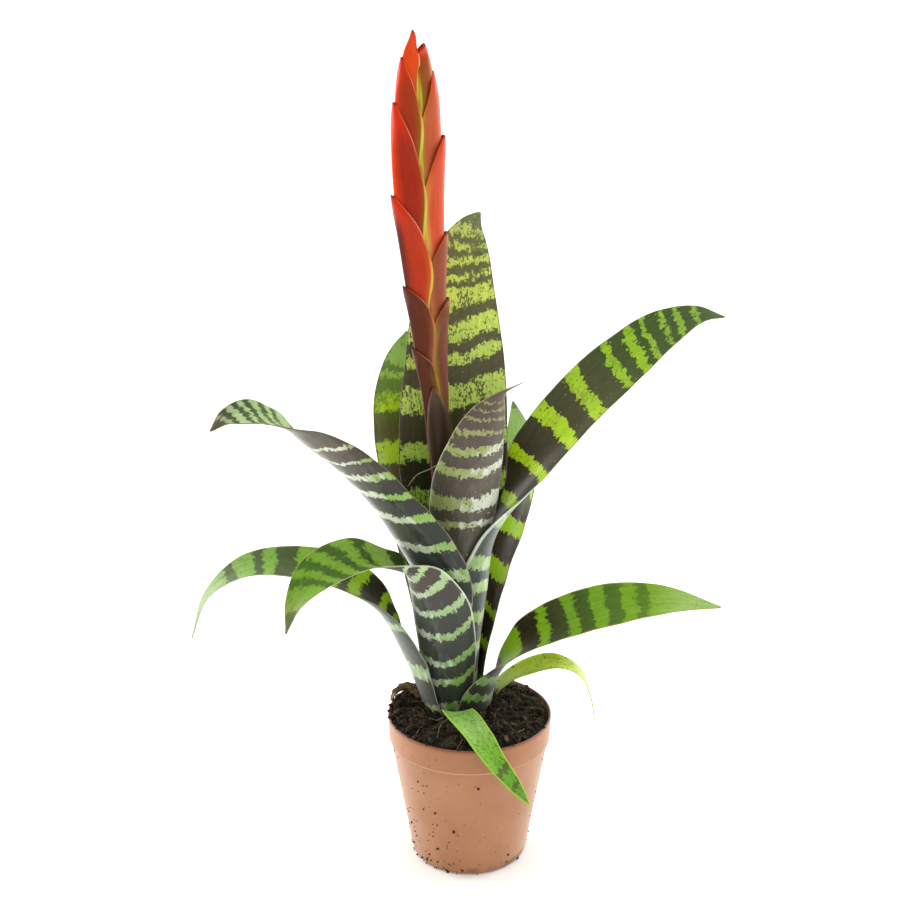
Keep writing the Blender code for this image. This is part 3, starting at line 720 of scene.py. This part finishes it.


# Keel, face, fork and tip colours of each bract, from the lowest up. A keel colour lighter than its
# face colour is partly the bract's own and partly painted highlight.
BRACT_COLOURS = (
    ((84, 40, 28), (86, 38, 20), (120, 124, 34), (94, 46, 30)),
    ((132, 84, 66), (112, 58, 38), (142, 150, 34), (140, 78, 60)),
    ((86, 38, 26), (92, 38, 16), (150, 88, 40), (96, 44, 30)),
    ((150, 88, 66), (136, 66, 38), (170, 100, 52), (156, 88, 66)),
    ((96, 36, 24), (176, 48, 14), (190, 100, 30), (206, 46, 18)),
    ((206, 84, 56), (192, 72, 40), (206, 170, 80), (206, 60, 40)),
    ((216, 54, 12), (152, 32, 2), (126, 84, 6), (214, 50, 18)),
    ((206, 92, 68), (176, 76, 44), (158, 124, 50), (206, 68, 52)),
    ((210, 54, 12), (154, 46, 8), (124, 98, 14), (204, 48, 18)),
    ((200, 74, 24), (140, 66, 16), (134, 106, 18), (206, 54, 18)),
    ((216, 66, 16), (214, 68, 12), (146, 86, 22), (216, 60, 20)),
)
SCAPE_COLOURS = ((62, 42, 30), (58, 44, 32), (84, 52, 36), (84, 70, 56))
# The margin's colour by the fork: on the lowest bracts, on the red ones and on the one in front.
BROWN_BRACTS = 4
BROWN_STRIP, RED_STRIP, SCAPE_STRIP = (164, 104, 60), (186, 180, 52), (96, 74, 54)


def stem_finish():
    """Yellow-green to the right, brown in front and a pale line of painted highlight on the left
    edge.
    """
    finish = Finish("spike_stalk", Roughness=0.42)
    right, away, height = split(finish.attribute("ring"))
    streak = streaks(right * 4.0, height * 0.05, away * 4.0, 3.0)
    green = step(right + (streak - 0.5) * 0.4, -0.75, 0.45)
    colour = blend(green, (112, 66, 54), (142, 160, 34))
    # A pale line on the left edge: painted highlight.
    pale = step(0.0 - right + (streak - 0.5) * 0.3, 0.55, 0.9)
    colour = blend(pale, colour, (214, 196, 188))
    colour = shade(colour, 0.8 + streak * 0.4)
    return finish.put(Base_Color=colour, Normal=bump(streak * 0.15))


def pot_finish():
    """Matte terracotta-coloured plastic: a warmer lip, faint flow marks, a pale line of painted
    highlight along the ledge, painted shade inside the wall, and peat near the foot.
    """
    finish = Finish(
        "terracotta_plastic", Specular_IOR_Level=0.35, Sheen_Weight=0.4, Sheen_Roughness=0.35
    )
    place = finish.place()
    x, y, height = split(place)
    broad = clouds(place, 0.035, 3.0)
    flow = streaks(x * 0.09, y * 0.09, height * 0.02, 4.0)
    grain = clouds(place, 2.4, 2.0)
    patches = clouds(place, 0.05, 2.0)
    colour = blend(step(broad, 0.32, 0.68), *CLAY)
    colour = blend(step(flow, 0.4, 0.7) * 0.2, colour, CLAY_FLOW)
    lip = step(height, POT_HEIGHT - 1.1, POT_HEIGHT - 0.5)
    colour = blend(lip * 0.9, colour, CLAY_LIP)
    # A pale line along the ledge: painted highlight.
    ledge_highlight = fall(abs(height - (LEDGE_HEIGHT - 0.1)), 0.15, 0.7)
    colour = blend(ledge_highlight * 0.5, colour, CLAY_LEDGE_HIGHLIGHT)
    reach = finish.node("ShaderNodeVectorMath", {"operation": "LENGTH"}, (vector(x, y),), 1)
    # Darker on the inside of the wall: painted shade.
    inside = step(height * TAPER + (BASE_RADIUS - 0.6) - reach, 0.0, 0.5)
    colour = blend(inside * 0.8, colour, CLAY_INSIDE_SHADE)
    spots = cells(place, 0.33)
    chosen = split(cells(place, 0.33, "Color"))[0]
    where = fall(height, 4.0, 62.0) * 0.3 + (0.0 - x) * 0.006 + patches * 0.5
    speck = fall(spots + grain * 0.1, 0.13, 0.25) * step(chosen + where, 1.02, 1.08)
    low = fall(height + grain * 6.0 - patches * 9.0, 0.2, 2.6)
    dirt = speck.most(low * step(patches, 0.42, 0.6) * 0.75)
    colour = blend(dirt * 0.9, colour, CLAY_DIRT)
    relief = flow * 0.12 + grain * 0.03 + dirt * 0.25
    roughness = 0.5 + (grain - 0.5) * 0.12 + dirt * 0.3
    return finish.put(Base_Color=colour, Roughness=roughness, Normal=bump(relief, 0.7))


def earth_finish(name, deep, light, scale=0.8, grit=0.6):
    """Damp crumbly matter: dark with browner crumbs, and painted shade in the dips between the
    cells.
    """
    finish = Finish(name, Specular_IOR_Level=0.25)
    place = finish.place()
    coarse = clouds(place, 0.22 * scale, 4.0, 0.6)
    fine = clouds(place, 1.1 * scale, 5.0, 0.65)
    crumbs = cells(place, 0.7 * scale)
    share = step(coarse * 0.5 + fine * 0.5, 0.42, 0.66)
    colour = blend(share, deep, light)
    # Darker in the dips between the cells, where the bump sinks: painted shade.
    colour = blend(step(crumbs, 0.35, 0.75) * 0.5, colour, deep)
    relief = fine * (0.7 * grit) + crumbs * (-0.5 * grit)
    roughness = 0.78 + fine * 0.2
    return finish.put(Base_Color=colour, Roughness=roughness, Normal=bump(relief))


def withered_finish():
    """Dry brown leaf, streaked along its length."""
    finish = Finish("withered_leaf", Roughness=0.75)
    across, along = split(finish.attribute("strap"))[:2]
    streak = streaks(across * 1.4, along * 0.16, 2.0, 4.0)
    patch = streaks(across * 0.3, along * 0.3, 9.0, 3.0)
    colour = blend(step(streak, 0.35, 0.65), (58, 42, 22), (134, 112, 66))
    colour = blend(step(patch, 0.45, 0.7) * 0.8, colour, (44, 34, 20))
    return finish.put(Base_Color=colour, Normal=bump(streak * 0.6))


# ---------------------------------------------------------------- meshes


def length_along(rows):
    steps = np.linalg.norm(np.diff(rows[:, :3], axis=0), axis=1)
    return np.concatenate([[0.0], np.cumsum(steps)])


def smooth_through(stations, count):
    """Rows evenly spaced along a smooth curve through the stations, which start with a place."""
    rows = np.asarray(stations, float)
    along = length_along(rows)
    slopes = np.gradient(rows, along, axis=0)
    out = []
    for here in np.linspace(0.0, along[-1], count):
        i = min(int(np.searchsorted(along, here, side="right")) - 1, len(rows) - 2)
        span = along[i + 1] - along[i]
        t = (here - along[i]) / span
        out.append(
            rows[i] * (1 + 2 * t) * (1 - t) ** 2
            + slopes[i] * span * t * (1 - t) ** 2
            + rows[i + 1] * t * t * (3 - 2 * t)
            + slopes[i + 1] * span * t * t * (t - 1)
        )
    return np.array(out)


def full_depth(stations):
    """The stations with the full depth of their arc as an eighth column."""
    return [station + (1.0,) for station in stations]


def unit(vectors):
    return vectors / np.linalg.norm(vectors, axis=-1, keepdims=True)


def frames_along(rows):
    """The side and the inward direction of a sheet at each row."""
    tangent = unit(np.gradient(rows[:, :3], axis=0))
    growth = np.radians(rows[:, 4])
    side = np.stack([-np.sin(growth), np.cos(growth), np.zeros(len(rows))], axis=1)
    side = unit(side - tangent * (side * tangent).sum(axis=1, keepdims=True))
    roll = np.radians(rows[:, 5:6])
    side = side * np.cos(roll) + np.cross(tangent, side) * np.sin(roll)
    return side, np.cross(tangent, side)


def around(radius, turn, height=0.0):
    """A place at that distance from the pot's axis."""
    return Vector((radius * math.cos(turn), radius * math.sin(turn), height))


def new_piece(name, bm, *materials, smooth=True):
    mesh = bpy.data.meshes.new(name)
    bm.to_mesh(mesh)
    bm.free()
    piece = bpy.data.objects.new(name, mesh)
    bpy.context.scene.collection.objects.link(piece)
    for material in materials:
        mesh.materials.append(material)
    if smooth:
        mesh.polygons.foreach_set("use_smooth", [True] * len(mesh.polygons))
    return piece


def settle(piece, node):
    """The piece rides on the plant's body and stands for its CAD node, which it hides."""
    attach(piece, "root")
    if node:
        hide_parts(node)


def sheet(name, rows, columns, thickness, mark, materials, ruffle=0.0, crumple=0.0, seed=0):
    """A curved sheet along the rows, marked for its finish and thickened to a closed body."""
    side, inward = frames_along(rows)
    along = length_along(rows)
    bm = bmesh.new()
    bmesh.ops.create_grid(bm, x_segments=columns, y_segments=len(rows) - 1, size=0.5)
    marks = bm.verts.layers.float_vector.new(mark)
    weights = bm.verts.layers.deform.verify()
    for vertex in bm.verts:
        row = round((vertex.co.y + 0.5) * (len(rows) - 1))
        share = 2 * vertex.co.x
        width, depth = rows[row, 3], rows[row, 7]
        half_angle = math.radians(rows[row, 6])
        radius = width / (2 * half_angle)
        angle = share * half_angle
        point = rows[row, :3] + side[row] * radius * math.sin(angle) * depth
        point = point + inward[row] * radius * (1 - math.cos(angle))
        wave = noise.noise(Vector((seed * 3.1, along[row] * 0.09, 2.0 * (share > 0))))
        point = point + inward[row] * (ruffle * wave * abs(share) ** 3 * min(1.0, width / 12))
        if crumple:
            point = point + np.array(noise.noise_vector(Vector(point) * 0.35)) * crumple
        margin = (1 - abs(share)) * width / 2
        if mark == "strap":
            vertex[marks] = (vertex.co.x * width, along[row], margin)
        else:
            vertex[marks] = (share, rows[row, 2], margin)
        vertex[weights][0] = min(1.0, 0.35 + margin / 3.5)
        vertex.co = (point + CROWN) * MM
    piece = new_piece(name, bm, *materials)
    piece.vertex_groups.new(name="body")
    wall = piece.modifiers.new("Thickness", "SOLIDIFY")
    wall.thickness = thickness * MM
    wall.offset = 0.0
    wall.vertex_group = "body"
    wall.thickness_vertex_group = 0.0
    wall.material_offset = len(materials) - 1
    return piece


def make_leaves():
    for number, (node, stations) in enumerate(LEAVES.items()):
        if node == "leaf_withered":
            continue
        length = length_along(smooth_through(full_depth(stations), 400))[-1]
        rows = smooth_through(full_depth(stations), int(length / LEAF_ROW_STEP))
        inner = INNER_FACES.get(node) or Face(EVEN_BANDS, **LIME_ON_BROWN)
        outer = OUTER_FACES.get(node) or Face(EVEN_BANDS, chalk=0.4, **GREY_GREEN)
        name = node.replace("leaf_", "") + "_leaf"
        finishes = (
            leaf_finish(name + "_outer", outer, length, number * 17.0),
            leaf_finish(name + "_inner", inner, length, number * 17.0 + 8.5),
        )
        piece = sheet(
            name, rows, LEAF_COLUMNS, LEAF_THICKNESS, "strap", finishes, LEAF_RUFFLE, seed=number
        )
        settle(piece, node)


def make_withered_leaf():
    rows = smooth_through(full_depth(LEAVES["leaf_withered"]), 40)
    rows[:, 3] *= DRY_LEAF_WIDENING
    finish = withered_finish()
    piece = sheet("dry_leaf", rows, 20, DRY_LEAF_THICKNESS, "strap", (finish,), 1.5, 1.1, 5)
    settle(piece, "leaf_withered")


def stem_at(height):
    course = np.array(STEM_COURSE, float)
    return float(np.interp(height, course[:, 2], course[:, 0]))


def spike_edge(height):
    edge = np.array(SPIKE_EDGE, float)
    return float(np.interp(height, edge[:, 0], edge[:, 1]))


def stem_radius(height):
    """Full up to the lowest bracts, and thinner and thinner inside the spike."""
    return STEM_RADIUS * (1.0 if height < 146 else 0.6 - 0.3 * (height - 150) / 210)


def bract_rows(side, tip, fork, foot, *covers):
    """A boat-shaped bract whose keel stands on one edge of the spike. Above the fork its margins
    run out to the keel, and below it the bract goes on down inside the lower ones."""
    growth = SPIKE_TURN + (180 if side < 0 else 0)
    turn = math.radians(growth)
    half_angle = math.radians(BRACT_HALF_ANGLE)
    stations = []
    for height, out, cover, depth in (
        (foot, 0.86, 1.0, 0.52), ((foot + fork) / 2, 0.88, 1.0, 0.62),
        (fork, 0.92, covers[0], 0.8 - 0.03 * side), ((fork + tip) / 2, 0.98, covers[1], 0.86),
        (tip - 0.14 * (tip - fork), 1.03, covers[2], 0.74), (tip, 1.05, 0.06, 0.2),
    ):
        edge = spike_edge(height)
        keel = max(edge * out, stem_radius(height) + 0.6)
        half_depth = SPIKE_DEPTH * depth * min(1.0, edge / 12)
        if height <= fork:
            half_depth = max(half_depth, stem_radius(height) + 0.5)
        radius = max(keel * cover + 0.2, 0.4) / (1 - math.cos(half_angle))
        place = (stem_at(height) + keel * math.cos(turn), keel * math.sin(turn), height)
        shape = (growth, 0.0, BRACT_HALF_ANGLE, max(half_depth, 0.5) / radius)
        stations.append((*place, radius * 2 * half_angle, *shape))
    return smooth_through(stations, BRACT_ROWS)


def make_spike():
    def bract(name, rows, node, colours, *marks):
        finish = spike_finish(name, colours, *marks)
        piece = sheet(name, rows, BRACT_COLUMNS, BRACT_THICKNESS, "boat", (finish,))
        settle(piece, node)

    for number, (shape, colours) in enumerate(zip(BRACTS, BRACT_COLOURS), 1):
        tip, fork = shape[1:3]
        strip = BROWN_STRIP if number <= BROWN_BRACTS else RED_STRIP
        node = f"bract_{number:02d}"
        bract("spike_" + node, bract_rows(*shape), node, colours, tip, fork, number * 11.0, strip)
    rows = smooth_through(full_depth(SCAPE_BRACT), BRACT_ROWS)
    bract("stalk_bract", rows, "scape_bract", SCAPE_COLOURS, 187, 150, 5.0, SCAPE_STRIP)


def tube(bm, points, radii, segments, marks=None):
    """A closed tube through the points: a grid rolled up, its seam merged and its ends filled."""
    points = [Vector(point) for point in points]
    last = len(points) - 1
    made = bmesh.ops.create_grid(bm, x_segments=segments, y_segments=last, size=0.5)["verts"]
    for vertex in made:
        row = round((vertex.co.y + 0.5) * last)
        ring = around(1.0, math.tau * (vertex.co.x + 0.5))
        ahead = points[min(row + 1, last)] - points[max(row - 1, 0)]
        if marks is not None:
            vertex[marks] = (ring.x, ring.y, points[row].z)
        turn = Vector((0, 0, 1)).rotation_difference(ahead)
        vertex.co = (points[row] + turn @ ring * radii[row]) * MM
    bmesh.ops.remove_doubles(bm, verts=made, dist=1e-6)
    open_edges = [edge for edge in bm.edges if edge.is_boundary]
    bmesh.ops.holes_fill(bm, edges=open_edges, sides=0)


def make_stalk():
    rows = smooth_through(STEM_COURSE, STEM_ROWS)
    bm = bmesh.new()
    marks = bm.verts.layers.float_vector.new("ring")
    tube(bm, rows + CROWN, [stem_radius(row[2]) for row in rows], 24, marks)
    bmesh.ops.recalc_face_normals(bm, faces=bm.faces)
    settle(new_piece("spike_stalk", bm, stem_finish()), "flower_stem")


def spun(profile, steps):
    """A body of revolution about the upright axis, from radius and height pairs that end on it."""
    bm = bmesh.new()
    points = [bm.verts.new((radius * MM, 0.0, height * MM)) for radius, height in profile]
    edges = [bm.edges.new(pair) for pair in zip(points, points[1:])]
    bmesh.ops.spin(
        bm, geom=points + edges, cent=(0, 0, 0), axis=(0, 0, 1), angle=math.tau, steps=steps,
        use_merge=True,
    )
    bmesh.ops.remove_doubles(bm, verts=bm.verts, dist=1e-6)
    bmesh.ops.recalc_face_normals(bm, faces=bm.faces)
    return bm


def rounded(profile, radius):
    """The profile with each corner rounded off."""
    corners = [Vector(point) for point in profile]
    out = [profile[0]]
    for before, corner, after in zip(corners, corners[1:], corners[2:]):
        back, ahead = before - corner, after - corner
        start = corner + back.normalized() * min(radius, back.length / 2.5)
        end = corner + ahead.normalized() * min(radius, ahead.length / 2.5)
        out += [tuple(start), tuple(corner * 0.5 + (start + end) * 0.25), tuple(end)]
    return out + [profile[-1]]


def wall_radius(height):
    return BASE_RADIUS + TAPER * height


def make_pot():
    inner_floor = wall_radius(FLOOR) - WALL
    inner_ledge = LEDGE_RADIUS - WALL
    profile = (
        (0.0, FLOOR), (inner_floor - 1.0, FLOOR), (inner_floor, FLOOR + 1.0),
        (inner_ledge, LEDGE_HEIGHT - 1.0), (inner_ledge + LEDGE_STEP, LEDGE_HEIGHT + 0.6),
        (RIM_RADIUS - WALL, POT_HEIGHT - 0.4), (RIM_RADIUS - WALL + 0.3, POT_HEIGHT),
        (RIM_RADIUS - 0.3, POT_HEIGHT), (RIM_RADIUS, POT_HEIGHT - 0.4),
        (LEDGE_RADIUS + LEDGE_STEP, LEDGE_HEIGHT + 0.4),
        (LEDGE_RADIUS + LEDGE_STEP - 0.3, LEDGE_HEIGHT), (LEDGE_RADIUS, LEDGE_HEIGHT - 0.2),
        (wall_radius(2.0), 2.0), (BASE_RADIUS - 0.4, 0.6), (BASE_RADIUS - 1.4, 0.0), (0.0, 0.0),
    )
    pot = new_piece("nursery_pot", spun(rounded(profile, POT_ROUNDING), POT_STEPS), pot_finish())
    drills = []
    for index in range(DRAIN_HOLES):
        place = around(DRAIN_REACH * MM, math.tau * (index + 0.5) / DRAIN_HOLES)
        bm = bmesh.new()
        bmesh.ops.create_cone(
            bm, cap_ends=True, segments=32, radius1=DRAIN_RADIUS * MM, radius2=DRAIN_RADIUS * MM,
            depth=4 * FLOOR * MM, matrix=Matrix.Translation(place),
        )
        drill = new_piece(f"drill_{index}", bm)
        boolean = pot.modifiers.new(drill.name, "BOOLEAN")
        boolean.operation = "DIFFERENCE"
        boolean.solver = "EXACT"
        boolean.object = drill
        drills.append(drill)
    drilled = pot.evaluated_get(bpy.context.evaluated_depsgraph_get())
    made = bpy.data.meshes.new_from_object(drilled)
    pot.modifiers.clear()
    pot.data = made
    for drill in drills:
        bpy.data.objects.remove(drill)
    made.polygons.foreach_set("use_smooth", [True] * len(made.polygons))
    made.set_sharp_from_angle(angle=math.radians(40))
    settle(pot, "pot")


def soil_height(x, y):
    """The peat's height over a place in the pot: lumpy, and a little mounded in the middle."""
    height = PEAT_HEIGHT - PEAT_FALL * (math.hypot(x, y) / PEAT_REACH) ** 4 + PEAT_TILT * y
    for rise, scale, shift in PEAT_LUMPS:
        height += rise * noise.noise(Vector((x * scale, y * scale, shift)))
    return height


def make_peat():
    reach = RIM_RADIUS - WALL - 0.3
    profile = [(reach * index / PEAT_RINGS, PEAT_FLAT) for index in range(PEAT_RINGS + 1)]
    profile += [
        (LEDGE_RADIUS - WALL + 0.6, LEDGE_HEIGHT + 1.0),
        (LEDGE_RADIUS - WALL - 0.3, LEDGE_HEIGHT - 2),
        (wall_radius(FLOOR + 2) - WALL - 0.3, FLOOR + 2),
        (wall_radius(FLOOR) - WALL - 2, FLOOR + 0.3), (0.0, FLOOR + 0.3),
    ]
    bm = spun(profile, PEAT_STEPS)
    for vertex in bm.verts:
        if vertex.co.z > (PEAT_FLAT - 1) * MM:
            vertex.co.z = soil_height(vertex.co.x / MM, vertex.co.y / MM) * MM
    peat = new_piece("peat", bm, earth_finish("peat", (15, 12, 7), (66, 54, 34)))
    settle(peat, "soil")


def on_peat(radius, turn):
    place = around(radius, turn)
    place.z = soil_height(place.x, place.y)
    return place


def in_pot(draw, most=LOOSE_REACH):
    """A random place on the peat."""
    reach = math.sqrt(draw.uniform(0.0, 1.0)) * most
    return on_peat(reach, draw.uniform(0, math.tau))


def lump(bm, draw, place, size, subdivisions=1):
    """A crumb of uneven shape."""
    turn = draw.uniform(0, math.tau)
    axis = Vector([draw.uniform(-1, 1) for _ in range(3)])
    scale = Matrix.Diagonal((draw.uniform(0.7, 1.5), draw.uniform(0.6, 1.1), LUMP_FLATNESS, 1.0))
    matrix = Matrix.Translation(place * MM) @ Matrix.Rotation(turn, 4, axis) @ scale
    made = bmesh.ops.create_icosphere(
        bm, subdivisions=subdivisions, radius=size * MM, matrix=matrix
    )["verts"]
    for vertex in made:
        offset = noise.noise_vector(vertex.co / (size * MM) * 0.9) * size * 0.35
        vertex.co += offset * MM


def loose(name, bm, deep, light, scale, grit, smooth=False):
    """A scatter of loose bits as one piece of the peat."""
    finish = earth_finish(name, deep, light, scale, grit)
    settle(new_piece(name, bm, finish, smooth=smooth), None)


def make_crumbs():
    draw = random.Random(CRUMB_SEED)
    bm = bmesh.new()
    for _ in range(CRUMBS):
        place = in_pot(draw)
        size = draw.choice((0.6, 0.8, 1.1, 1.5, 2.0))
        place.z += 0.3 * size
        lump(bm, draw, place, size)
    for _ in range(LUMPS):
        place = in_pot(draw)
        lump(bm, draw, place, draw.uniform(1.8, 3.0), 2)
    for _ in range(EDGE_LUMPS):
        turn = math.radians(draw.uniform(-10, 215))
        place = on_peat(draw.uniform(36.0, 42.5), turn)
        place.z += draw.uniform(0.2, 2.0)
        lump(bm, draw, place, draw.uniform(1.2, 2.8), 2)
    for angle, out, size in RIM_CRUMBS:
        lump(bm, draw, around(out, math.radians(angle), POT_HEIGHT + 0.4 * size), size)
    loose("peat_crumbs", bm, (20, 16, 10), (84, 70, 46), 1.6, 0.8)


def make_bark():
    draw = random.Random(BARK_SEED)
    bm = bmesh.new()
    for _ in range(BARK_BITS):
        place = in_pot(draw)
        place.z += 0.5
        spin = Matrix.Rotation(draw.uniform(0, math.tau), 4, "Z")
        lean = Matrix.Rotation(draw.uniform(-0.6, 0.6), 4, "X")
        sizes = [draw.uniform(*limits) for limits in ((2.5, 7.5), (1.2, 2.6), (0.5, 1.2))]
        matrix = Matrix.Translation(place * MM) @ spin @ lean @ Matrix.Diagonal((*sizes, 1))
        made = bmesh.ops.create_cube(bm, size=MM, matrix=matrix)["verts"]
        for vertex in made:
            vertex.co += Vector([draw.uniform(-0.35, 0.35) * MM for _ in range(3)])
    loose("bark_bits", bm, (44, 34, 22), (112, 94, 62), 1.8, 0.5)


def strand(bm, draw, here, length, radius, lift):
    """A thin bent fibre that lies on the peat."""
    heading = draw.uniform(0, math.tau)
    bend = draw.uniform(-0.16, 0.16)
    points = []
    for index in range(9):
        hump = lift * math.sin(math.pi * index / 8)
        points.append(Vector((here.x, here.y, soil_height(here.x, here.y) + radius + hump)))
        heading += bend + draw.uniform(-0.2, 0.2)
        here = here + around(length / 8, heading)
        if here.xy.length > FIBRE_LIMIT:
            break
    if len(points) > 3:
        tube(bm, points, [radius] * len(points), 5)


def make_fibres():
    draw = random.Random(FIBRE_SEED)
    for name, count, radius, deep, light in FIBRES:
        bm = bmesh.new()
        for _ in range(count):
            place = in_pot(draw, FIBRE_REACH)
            strand(bm, draw, place, draw.uniform(8, 24), radius, draw.uniform(0.3, 2.2))
        if name == "pale_roots":
            tube(bm, smooth_through(WISP, 20) + CROWN, [WISP_RADIUS] * 20, 5)
        bmesh.ops.recalc_face_normals(bm, faces=bm.faces)
        loose(name, bm, deep, light, 1.2, 0.1, True)


def make_pot_crumbs():
    """Specks of peat that stick to the pot's outside, most of them low on the left."""
    draw = random.Random(SPECK_SEED)
    bm = bmesh.new()
    for _ in range(POT_SPECKS):
        height = 68 * draw.random() ** 1.7
        turn = math.radians(draw.choice((draw.gauss(222, 26), draw.uniform(0, 360))))
        place = around(wall_radius(height) + 0.1, turn, height)
        lump(bm, draw, place, draw.choice((0.35, 0.45, 0.6, 0.9)))
    loose("pot_crumbs", bm, (40, 27, 16), (104, 76, 48), 2.0, 0.4)


def dress_stump():
    """The buried stump keeps its shape and gets a woody finish."""
    woody = earth_finish("woody_stump", (52, 42, 24), (126, 108, 66), 1.2, 0.5)
    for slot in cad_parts["stump"].material_slots:
        slot.material = woody


# ---------------------------------------------------------------- studio


def make_studio():
    bm = bmesh.new()
    bmesh.ops.create_grid(bm, x_segments=2, y_segments=2, size=FLOOR_REACH)
    matte = Finish("floor", Base_Color=FLOOR_COLOUR, Roughness=0.9, Specular_IOR_Level=0.1)
    new_piece("floor", bm, matte.material)
    scene = bpy.context.scene
    scene.world = bpy.data.worlds.new("studio")
    scene.world.use_nodes = True
    nodes, links = scene.world.node_tree.nodes, scene.world.node_tree.links
    sky = nodes["Background"]
    sky.inputs["Color"].default_value = SKY_COLOUR
    direction = nodes.new("ShaderNodeTexCoord")
    parts = nodes.new("ShaderNodeSeparateXYZ")
    fade = nodes.new("ShaderNodeMapRange")
    fade.interpolation_type = "SMOOTHSTEP"
    for socket, value in (
        ("From Min", -0.9), ("From Max", 0.35), ("To Min", SKY_FRONT), ("To Max", SKY_BACK)
    ):
        fade.inputs[socket].default_value = value
    links.new(direction.outputs["Generated"], parts.inputs[0])
    links.new(parts.outputs["Y"], fade.inputs["Value"])
    links.new(fade.outputs[0], sky.inputs["Strength"])
    scene.view_settings.view_transform = "Standard"
    sun = bpy.data.lights.new("overhead", "SUN")
    sun.energy = OVERHEAD_POWER
    sun.angle = math.radians(OVERHEAD_SPREAD)
    scene.collection.objects.link(bpy.data.objects.new("overhead", sun))
    for name, place, size, power in LIGHTS:
        light = bpy.data.lights.new(name, "AREA")
        light.shape = "SQUARE"
        light.size = size
        light.energy = power
        lamp = bpy.data.objects.new(name, light)
        scene.collection.objects.link(lamp)
        lamp.location = place
        aim = Vector(LIGHT_AIM) - Vector(place)
        lamp.rotation_euler = aim.to_track_quat("-Z", "Y").to_euler()


def make_camera():
    lens = bpy.data.cameras.new("camera")
    lens.lens = CAMERA_LENS
    camera = bpy.data.objects.new("camera", lens)
    camera.location = CAMERA_PLACE
    camera.rotation_euler = (math.radians(CAMERA_TILT), 0.0, 0.0)
    bpy.context.scene.collection.objects.link(camera)
    bpy.context.scene.camera = camera


make_camera()
make_studio()
make_pot()
make_peat()
make_crumbs()
make_bark()
make_fibres()
make_pot_crumbs()
make_withered_leaf()
make_leaves()
make_stalk()
make_spike()
dress_stump()
